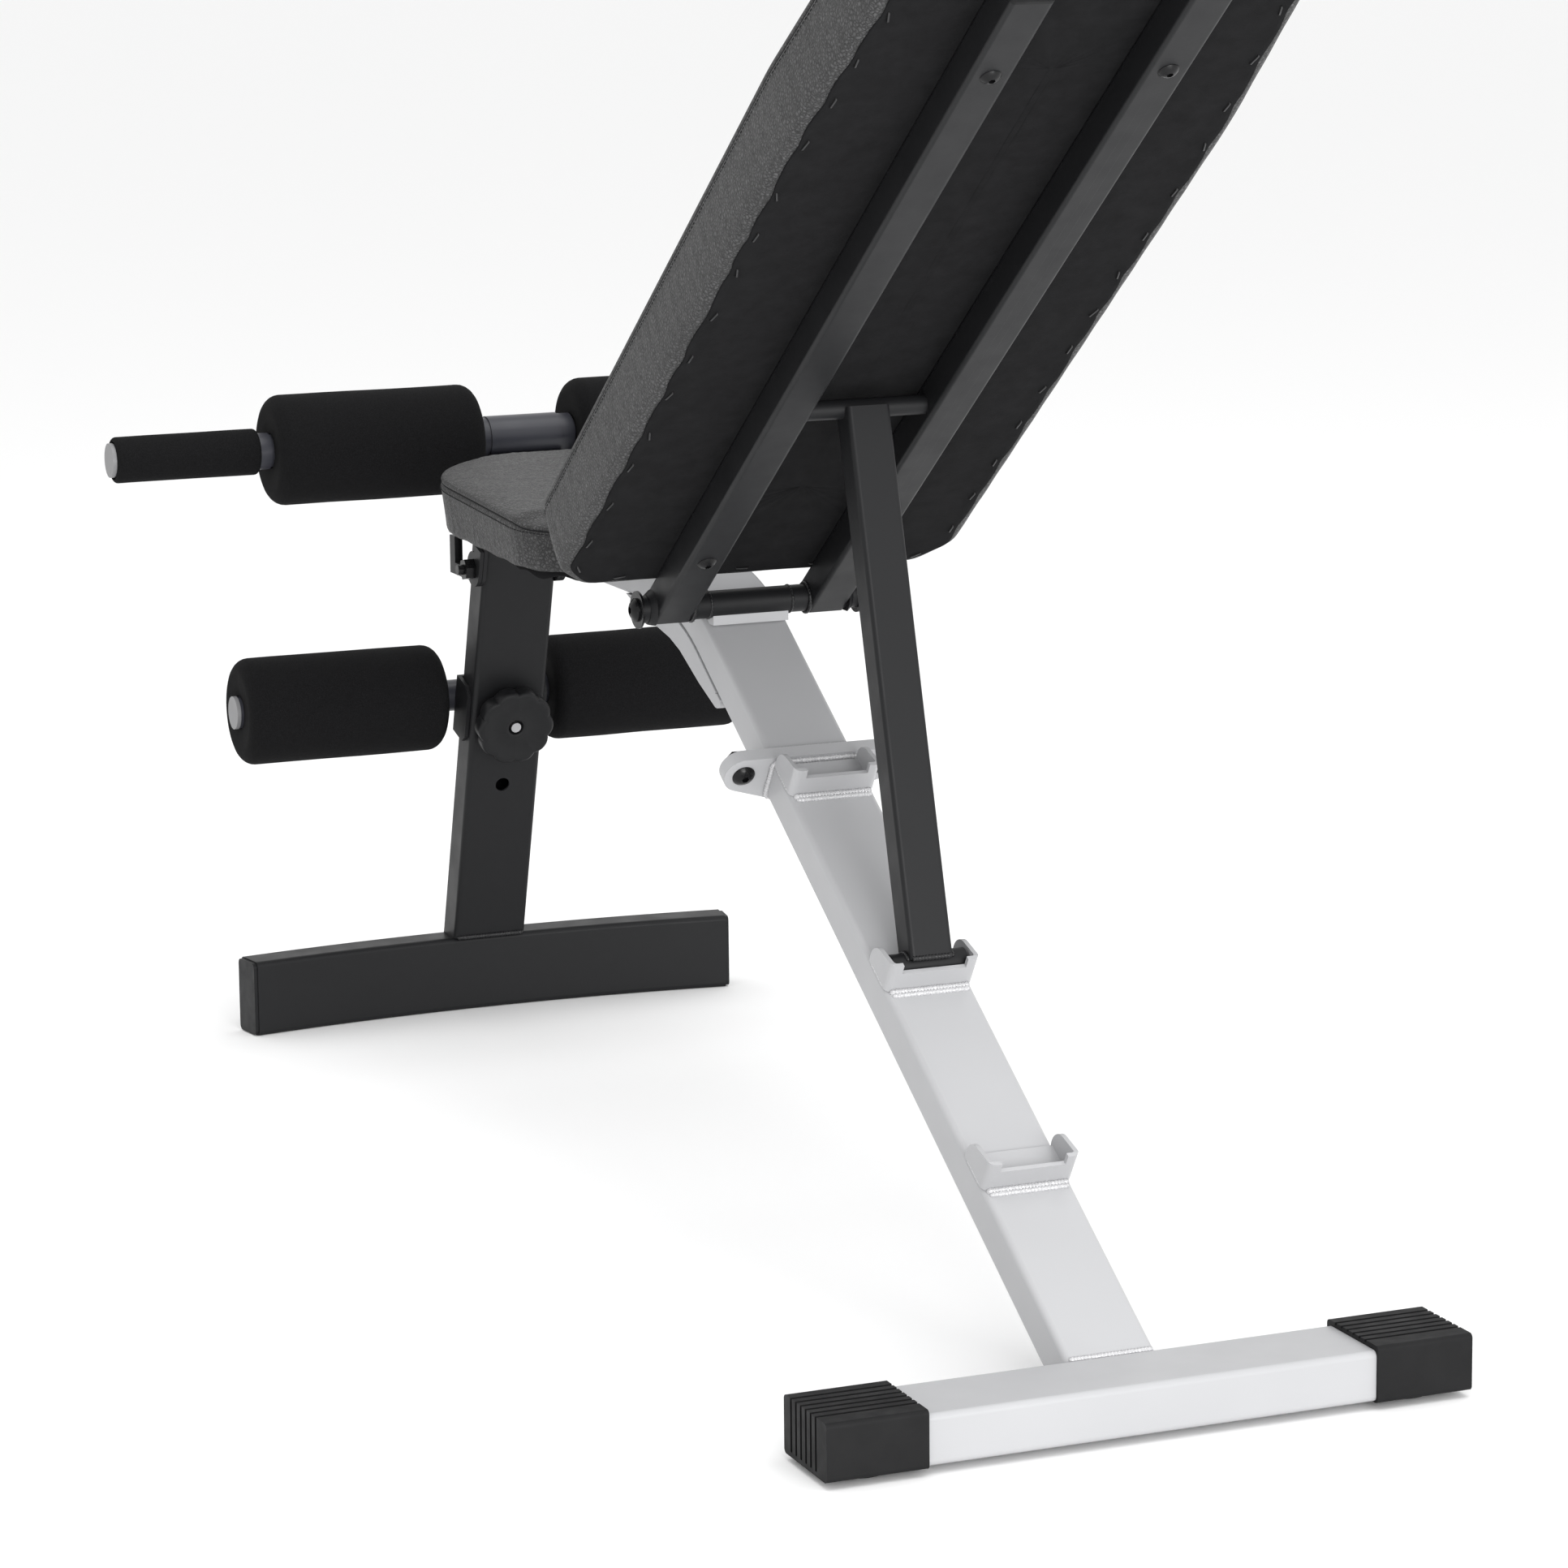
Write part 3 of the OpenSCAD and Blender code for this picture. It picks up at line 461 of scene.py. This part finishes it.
def stitches(name, run, spacing, length, radius, matrix, body):
    """Short separate threads along a closed run of points."""
    at, whole = run_length(run)
    count = int(whole / spacing)
    closed_at = np.append(at, whole)
    closed_run = np.vstack((run, run[:1]))
    profile = ((-0.5, 0.35), (-0.36, 0.9), (0.0, 1.0), (0.36, 0.9), (0.5, 0.35))
    sides = 6
    look_ahead = 0.6
    points, faces = [], []

    def at_distance(distance):
        return np.array([np.interp(distance, closed_at, closed_run[:, k]) for k in range(3)])

    for i in range(count):
        distance = (i + 0.5) * whole / count
        middle = at_distance(distance)
        along = at_distance(distance + look_ahead) - middle
        along /= max(np.linalg.norm(along), 1e-6)
        across = np.cross(along, (0, 0, 1))
        across /= max(np.linalg.norm(across), 1e-6)
        up = np.cross(across, along)
        base = len(points)
        for share, size in profile:
            for side in range(sides):
                angle = 2 * math.pi * side / sides
                outward = across * math.cos(angle) + up * math.sin(angle)
                points.append(middle + along * share * length + radius * size * outward)
        faces += [tuple(base + k for k in face) for face in ring_faces(len(profile), sides)]
    make_piece(name, place(points, matrix), faces, "thread", body)


def tube(name, path, radius, material, body, matrix, sides=8, ripple=0.0, pitch=2.2, closed=False):
    """Round strand along a path; a ripple makes it a weld bead with overlapping scales."""
    path = np.asarray(path, dtype=float)
    if ripple:
        ends = path if not closed else np.vstack((path, path[:1]))
        at = np.concatenate(([0], np.cumsum(np.linalg.norm(np.diff(ends, axis=0), axis=1))))
        count = max(4, int(at[-1] / (pitch / 3)))
        places = np.linspace(0, at[-1], count, endpoint=not closed)
        path = np.column_stack([np.interp(places, at, ends[:, k]) for k in range(3)])
    before = np.roll(path, 1, axis=0)
    after = np.roll(path, -1, axis=0)
    if not closed:
        before[0], after[-1] = path[0], path[-1]
    along = after - before
    along /= np.maximum(np.linalg.norm(along, axis=1, keepdims=True), 1e-9)
    guide = np.array((0.31, 0.83, 0.46))
    across = np.cross(along, guide)
    across /= np.linalg.norm(across, axis=1, keepdims=True)
    up = np.cross(across, along)
    angles = 2 * np.pi * np.arange(sides) / sides
    rings = []
    for i, point in enumerate(path):
        size = radius * (1 + ripple * (1 - (i % 3)) + 0.6 * ripple * noise.noise(Vector(point) * 0.15))
        if not closed and i in (0, len(path) - 1):
            size *= 0.4
        rings.append(point + size * (np.outer(np.cos(angles), across[i]) + np.outer(np.sin(angles), up[i])))
    faces = loop_faces(len(rings), sides) if closed else ring_faces(len(rings), sides)
    return make_piece(name, place(np.vstack(rings), matrix), faces, material, body)


def lathe(name, profile, centre, material, body, matrix, sides=72, bumps=0.0, seed=0.0):
    """Closed ring of revolution about a line along X; the profile is (x, radius) pairs."""
    angles = 2 * np.pi * np.arange(sides) / sides
    rings = []
    for x, radius in profile:
        ring = np.column_stack((np.full(sides, x), radius * np.cos(angles), radius * np.sin(angles)))
        if bumps:
            swell = 1 + bumps * wobble(ring, 0.02, seed) / radius
            ring[:, 1:] *= swell[:, None]
        rings.append(ring + np.array(centre))
    faces = loop_faces(len(rings), sides)
    return make_piece(name, place(np.vstack(rings), matrix), faces, material, body)


# ---------------------------------------------------------------- cushions

OUTLINE_SPACING = 5
SEAT_SPINE = (-176, -64)
BACK_SPINE = (120, 610)


def upholster(node, rings, matrix, body):
    """Closed padded cover from stacked rings."""
    faces = ring_faces(len(rings), len(rings[0]))
    piece = make_piece(f"{node}_cover", place(np.vstack(rings), matrix), faces, "vinyl", body)
    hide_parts(node)


def lining(name, rings, matrix, body):
    """Black cloth over a board, from its folded edge inwards."""
    faces = ring_faces(len(rings), len(rings[0]), False, True)
    make_piece(name, place(np.vstack(rings), matrix), faces, "backing_cloth", body)


def crease_rows(outline, period, seed):
    """Uneven pulls along an outline, between 0 and 1, about one per period."""
    at, whole = run_length(outline[0])
    pulls = max(3, round(whole / period))
    phase = at / whole * pulls * 2 * math.pi
    drift = 1.6 * wobble(np.column_stack((outline[0], np.zeros(len(at)))), 0.012, seed)
    return 0.5 + 0.5 * np.cos(phase + drift)


def seat_outline():
    """The seat pad's outline: x across, y from the front edge to the rear edge at 0."""
    half, front, front_radius, rear_radius = 128, -284, 100, 52
    corners = [(-half, front, front_radius), (half, front, front_radius),
               (half, 0, rear_radius), (-half, 0, rear_radius)]
    return rounded_outline(corners, OUTLINE_SPACING)


def build_seat_cushion():
    """Seat pad: boxed band with a welt seam, softer rear corners and a front edge that hangs lower."""
    outline = seat_outline()
    pulls = crease_rows(outline, 38, 3.0)
    tight = crease_rows(outline, 11, 8.0)
    points, normals = outline
    corner = np.clip((np.abs(normals[:, 0] * normals[:, 1]) - 0.12) * 4, 0, 1) * (normals[:, 1] > 0)
    ripple = 0.35 * (tight - 0.5) + 1.1 * corner * (tight - 0.5)
    droop = 2.4 * corner
    drop = 5.5 * np.clip((-points[:, 1] - 40) / 200, 0, 1)
    rings = [band(outline, 17, 1.5),
             band(outline, 15 + 2 * pulls, -0.8 - 0.8 * drop),
             band(outline, 9, -2.4 - 0.8 * pulls - drop),
             band(outline, 6.0 + 0.5 * ripple, -3.4 - 0.8 * pulls - drop),
             band(outline, 4.6 + ripple, -1.0 - drop),
             band(outline, 3.8 + 1.4 * ripple, 5 - 0.7 * drop),
             band(outline, 2.8 + 1.6 * ripple, 11 - 0.4 * drop),
             band(outline, 1.6 + 1.4 * ripple, 17),
             band(outline, 0.7 + ripple, 22),
             band(outline, 0.3 + 0.6 * ripple, 25.0 - 0.6 * droop),
             band(outline, 1.0 + 0.2 * ripple, 26.8 - 0.8 * droop),
             band(outline, 2.4, 27.6 - droop),
             band(outline, 0.9 + 0.2 * ripple, 28.6 - droop),
             band(outline, 0.4 + 0.5 * ripple, 29.8 - 1.1 * droop),
             band(outline, 1.4 + 0.8 * ripple, 31.6 - 1.3 * droop),
             band(outline, 4.4 + 0.8 * ripple, 33.0 - 1.5 * droop),
             band(outline, 9.0, 34.0 + 0.4 * tight - 1.6 * droop)]
    edge = band(outline, 15, 34.8 - 1.5 * droop)
    rings.append(edge)
    rings += crown(edge, SEAT_SPINE, 1.6, 14)
    for row, ring in enumerate(rings[16:]):
        fade = max(0.0, 1 - row / 9)
        ring[:, 2] += fade * (0.9 * wobble(ring, 0.035, 5.0) + 0.5 * wobble(ring, 0.09, 9.0))
    upholster("seat_cushion", rings, SEAT, "frame")
    row = band(outline, 0.25 + 0.8 * ripple, 23.6)
    stitches("seat_cushion_stitches", row, 3.4, 2.5, 0.42, SEAT, "frame")
    seam = band(outline, 1.8, 27.6 - droop)
    tube("seat_cushion_seam", seam, 0.7, "thread", "frame", SEAT, closed=True)
    build_seat_lining(outline, pulls, drop)


def build_seat_lining(outline, pulls, drop):
    """Cloth under the seat board, sagging between its staples at the rear."""
    points, _ = outline
    rear = np.clip((points[:, 1] + 90) / 60, 0, 1)
    sag = -3.6 - drop - rear * (3.2 + 3.6 * pulls)
    rings = [band(outline, 12, -1.6),
             band(outline, 8.0 + 2.0 * (1 - rear), sag + 0.6),
             band(outline, 8.6 + 2.0 * (1 - rear), sag),
             band(outline, 12.0, 0.7 * sag),
             band(outline, 20, -2.2)]
    rings += crown(rings[-1], SEAT_SPINE, 0.4, 5)
    lining("seat_underside_cloth", rings, SEAT, "frame")


def back_outline():
    """The back pad's outline: x across, y up the back from its lower edge."""
    half, length, chamfer, low_radius = 148, 735, 24, 22
    taper, taper_from, taper_radius, head_radius = 12, 545, 300, 42
    corners = [(-half + chamfer, 0, low_radius), (half - chamfer, 0, low_radius),
               (half, chamfer, low_radius), (half, taper_from, taper_radius),
               (half - taper, length, head_radius), (-half + taper, length, head_radius),
               (-half, taper_from, taper_radius), (-half, chamfer, low_radius)]
    return rounded_outline(corners, OUTLINE_SPACING)


def back_matrix():
    """From (x, up the back, depth towards the cushion face) to the world; depth 0 is the board's rear."""
    turn = Matrix(((1, 0, 0, 0), (0, 0, -1, -14), (0, 1, 0, 14.5), (0, 0, 0, 1)))
    return BACK @ turn


def build_back_cushion():
    """Back pad: cover pulled round the board, a straight side and a welt seam near its face."""
    matrix = back_matrix()
    outline = back_outline()
    pulls = crease_rows(outline, 47, 1.0)
    tight = crease_rows(outline, 17, 6.0)
    soft = 0.5 * (tight - 0.5)
    rings = [band(outline, 13.5, 1.6),
             band(outline, 12.5, -0.25),
             band(outline, 8.5, -0.9 - 0.3 * pulls),
             band(outline, 5.0, -0.8 - 0.3 * pulls),
             band(outline, 2.3, 0.7 - 0.3 * pulls),
             band(outline, 0.7 + 0.3 * soft, 3.6),
             band(outline, 0.1 + soft, 8.5),
             band(outline, -0.4 + soft, 15),
             band(outline, -0.6 + soft, 23),
             band(outline, -0.5 + soft, 31),
             band(outline, -0.2 + soft, 38),
             band(outline, 0.0 + 0.6 * soft, 43),
             band(outline, 0.3, 46.2),
             band(outline, 1.9, 47.6),
             band(outline, 0.9, 48.9),
             band(outline, 1.3, 51.2),
             band(outline, 3.6, 53.4),
             band(outline, 8.0, 55.0)]
    edge = band(outline, 13.5, 56.0)
    rings.append(edge)
    rings += crown(edge, BACK_SPINE, 3.0, 14)
    for row, ring in enumerate(rings[17:]):
        fade = max(0.0, 1 - row / 10)
        ring[:, 2] += fade * (0.8 * wobble(ring, 0.03, 2.0) + 0.4 * wobble(ring, 0.08, 4.0))
    upholster("back_cushion", rings, matrix, "backrest")
    stitches("back_cushion_stitches", band(outline, 0.15, 44.6), 4.2, 3.0, 0.45, matrix, "backrest")
    seam = band(outline, 1.5, 47.6)
    tube("back_cushion_seam", seam, 0.6, "thread", "backrest", matrix, closed=True)
    build_back_cloth(matrix, outline, pulls)


def build_back_cloth(matrix, outline, pulls):
    """Black cloth stapled over the rear of the back board, with a scalloped folded edge."""
    slack = 0.5 + 0.5 * wobble(band(outline, 0, 0), 0.03, 12.0)
    hem = 6.0 + 1.4 * pulls ** 2 + 1.6 * slack
    rings = [band(outline, hem + 1.2, -0.7),
             band(outline, hem + 0.1, -1.0),
             band(outline, hem, -1.6),
             band(outline, hem + 0.6, -2.1),
             band(outline, hem + 3.5, -1.9 + 0.5 * pulls),
             band(outline, 14.0, -1.3 + 0.3 * pulls)]
    rings += crown(rings[-1], BACK_SPINE, 0.8, 6)
    lining("back_lining", rings, matrix, "backrest")
    staple_row(matrix, band(outline, 12.4, -2.0), pulls)


def staple_row(matrix, run, pulls):
    """Wire staples at the tight places of the cloth's edge, each a little askew."""
    picker = random.Random(41)
    wire = ((-0.5, -0.15), (0.5, -0.15), (0.5, 0.25), (-0.5, 0.25))
    points, faces = [], []
    count = len(run)
    tight = [i for i in range(count) if pulls[i] >= pulls[i - 1] and pulls[i] > pulls[(i + 1) % count]]
    for i in tight:
        along = run[(i + 1) % count] - run[i - 1]
        angle = math.atan2(along[1], along[0]) + picker.uniform(-0.35, 0.35)
        lengthways = np.array((math.cos(angle), math.sin(angle), 0))
        sideways = np.array((-lengthways[1], lengthways[0], 0))
        middle = run[i] + sideways * picker.uniform(-1.0, 1.0)
        half = picker.uniform(4.0, 4.8)
        bends = ((-half, 1.0), (-half, -0.15), (-half + 0.5, -0.5),
                 (half - 0.5, -0.5), (half, -0.15), (half, 1.0))
        base = len(points)
        for end, height in bends:
            for side, out in wire:
                points.append(middle + lengthways * end + sideways * side + np.array((0, 0, height + out)))
        faces += [tuple(base + k for k in face) for face in ring_faces(len(bends), len(wire))]
    make_piece("back_staples", place(points, matrix), faces, "staple_wire", "backrest")


# ---------------------------------------------------------------- foam

def foam_profile(start, length, inner, outer, edge):
    """Section of a foam tube: rounded outer edges and slightly dished end faces."""
    profile = [(start + 2.5, inner), (start + 1.2, inner + 1.0), (start + 0.9, inner + (outer - inner) * 0.4)]
    for degrees in range(90, -1, -15):
        angle = math.radians(degrees)
        profile.append((start + edge * (1 - math.sin(angle)), outer - edge * (1 - math.cos(angle))))
    mirror = [(2 * start + length - x, radius) for x, radius in reversed(profile)]
    inside = [(start + edge + (length - 2 * edge) * k / 8, outer) for k in range(1, 8)]
    return profile + inside + mirror


def foam_sleeve(node, profile, flip, bar, body, bumps, seed):
    """One foam sleeve on a bar, in place of the CAD's; flip is 1 for left and -1 for right."""
    sided = [(flip * x, radius) for x, radius in profile]
    piece = lathe(f"{node}_foam", sided, (0, *bar), "foam", body, POST, bumps=bumps, seed=seed)
    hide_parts(node)


def build_foam():
    """Four rollers and two hand grips."""
    sides = (("left", 1), ("right", -1))
    for level, bar, start in (("upper", UPPER_BAR, 39.8), ("lower", LOWER_BAR, 44.8)):
        roller = foam_profile(start, 164, 12.7, 42, 11)
        for side, flip in sides:
            foam_sleeve(f"{level}_roller_{side}", roller, flip, bar, f"{level}_{side}_roller",
                        0.5, bar[1] + 40 * flip)
    grip = foam_profile(213.3, 112, 12.55, 17.5, 3)
    for side, flip in sides:
        foam_sleeve(f"grip_{side}", grip, flip, UPPER_BAR, "frame", 0.35, 7 * flip)


# ---------------------------------------------------------------- star knob

def build_knob():
    """Ten-lobed hand knob with a dished face and a recess for the end of the stud."""
    sides = 240
    angles = 2 * np.pi * np.arange(sides) / sides
    rim = 28.7 + 2.6 * np.abs(np.cos(5 * angles)) ** 0.8
    section = ((4.1, 0, 0.4), (12.4, 0, 0.4), (13, 0, 1.2), (13, 0, 7.0), (5, 0.5, 7.6), (0, 0.93, 7.9),
               (0, 0.98, 8.6), (0, 1, 9.8), (0, 1, 19.4), (0, 0.985, 20.6), (0, 0.955, 21.4), (0, 0.91, 21.8),
               (0, 0.84, 21.6), (2, 0.6, 20.6), (10.5, 0, 19.8), (9.3, 0, 20.3), (7.2, 0, 20.4),
               (6.1, 0, 19.9), (5.8, 0, 19.0), (5.8, 0, 17.2), (4.1, 0, 17.0))
    rings = []
    for fixed, share, depth in section:
        radius = fixed + share * rim
        rings.append(np.column_stack((radius * np.cos(angles), np.full(sides, depth),
                                      LOWER_BAR[1] + radius * np.sin(angles))))
    faces = loop_faces(len(rings), sides)
    knob = make_piece("star_knob_body", place(np.vstack(rings), POST), faces, "black_plastic",
                      "carriage_knob")
    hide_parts("star_knob")


# ---------------------------------------------------------------- welds


def bead(name, path, radius, matrix, metal="weld_metal", body="frame", closed=False):
    """Rippled weld bead along a path."""
    tube(name, path, radius, metal, body, matrix, ripple=0.16, closed=closed)


def rectangle(x, near, far, along, corner=4.0):
    """Closed run round a tube's section, at one place along it."""
    corners = [(-x, near, corner), (x, near, corner), (x, far, corner), (-x, far, corner)]
    points, _ = rounded_outline(corners, 3)
    return np.column_stack((points, np.full(len(points), along)))


def circle(x, centre, radius, count=40):
    """Closed circle about a line along X."""
    angles = 2 * np.pi * np.arange(count) / count
    return np.column_stack((np.full(count, x), centre[0] + radius * np.cos(angles),
                            centre[1] + radius * np.sin(angles)))


def level_run(half, y, z, count=12):
    """Straight run along X, from -half to half."""
    return [(x, y, z) for x in np.linspace(-half, half, count)]


def build_catch_welds():
    """Two rows below each catch's plate and one at each of its sides."""
    for name, along in (("top", 513), ("middle", 327), ("bottom", 152)):
        for row, (out, down, radius) in enumerate(((0.6, 12.6, 2.3), (0.1, 15.4, 2.0))):
            bead(f"catch_{name}_weld_{row + 1}", level_run(28 - row, out, along - down), radius, LEG)
        for side, word in ((-1, "right"), (1, "left")):
            run = [(side * 30.2, 0.4, along + t) for t in np.linspace(-6, 15, 7)]
            bead(f"catch_{name}_side_weld_{word}", run, 1.1, LEG)


def build_welds():
    """Weld beads where the tubes, plates and sleeves meet."""
    build_catch_welds()
    bead("lower_flange_weld", rectangle(30.6, -30.6, 0.6, 535.0), 2.0, LEG, closed=True)
    bead("upper_flange_weld", rectangle(30.6, -30.6, 0.6, 547.0), 1.8, LEG, closed=True)
    bead("post_foot_weld", level_run(28, -581.6, 60.6), 1.8, LEVEL, "dark_weld")
    bead("post_sleeve_weld", level_run(27, -4.0, 420.6), 1.8, POST, "dark_weld")
    bead("sleeve_front_weld", level_run(27, -30.6, 415.0), 1.6, POST, "dark_weld")
    bead("rear_foot_weld", level_run(28, 551.4, 36.6), 1.8, LEVEL)
    for side, word in ((-1, "right"), (1, "left")):
        sleeve_end = circle(side * 30.2, HINGE, 9.3)
        bead(f"hinge_sleeve_weld_{word}", sleeve_end, 0.9, LEVEL, "dark_weld", closed=True)
        bush_end = circle(side * 43.0, HINGE, 10.2)
        bead(f"bush_inner_weld_{word}", bush_end, 1.3, LEVEL, "dark_weld", "backrest", closed=True)
        around = [(side * 15.8, 8.3 * math.cos(a), 8.3 * math.sin(a)) for a in np.linspace(0.3, 2.84, 12)]
        bead(f"strut_bar_weld_{word}", around, 1.3, STRUT, "dark_weld", "prop_strut")
    bead("strut_foot_weld", level_run(14, 10.6, 3.4, 10), 1.7, STRUT, "dark_weld", "prop_strut")
    bead("saddle_weld", level_run(27, -29.6, 403.5, 14), 1.6, LEVEL)


def soften_edges():
    """Small rounded edges on the CAD's metal, so that they catch the light."""
    soft = {"seat_rail", "upper_leg_tube", "lower_leg_tube", "rear_foot_tube", "front_post", "front_foot",
            "back_tube_left", "back_tube_right", "strut_tube"}
    skip = {"seat_board", "back_board", "seat_cushion", "back_cushion", "grip_left", "grip_right",
            "upper_roller_left", "upper_roller_right", "lower_roller_left", "lower_roller_right",
            "flange_bolts", "post_bolt", "seat_bolts", "pivot_end_bolts", "back_bolts", "star_knob"}
    wide = {"rear_cap_left": 0.9, "rear_cap_right": 0.9, "front_foot_plugs": 1.6,
            "rear_foot_pads": 0.8, "back_tube_plugs": 0.8, "catch_top": 0.7, "catch_middle": 0.7,
            "catch_bottom": 0.7, "upper_flange": 0.8, "lower_flange": 0.8, "leg_gusset": 0.7}
    for name, piece in NODES.items():
        if name in skip:
            continue
        edge = piece.modifiers.new("edge", "BEVEL")
        edge.width = (0.4 if name in soft else wide.get(name, 0.45)) * MM
        edge.segments = 2
        edge.limit_method = "ANGLE"
        edge.angle_limit = math.radians(35)
        edge.harden_normals = False
        edge.use_clamp_overlap = True


build_materials()
add_camera()
add_stage()
dress_frame()
soften_edges()
build_seat_cushion()
build_back_cushion()
build_foam()
build_knob()
build_welds()
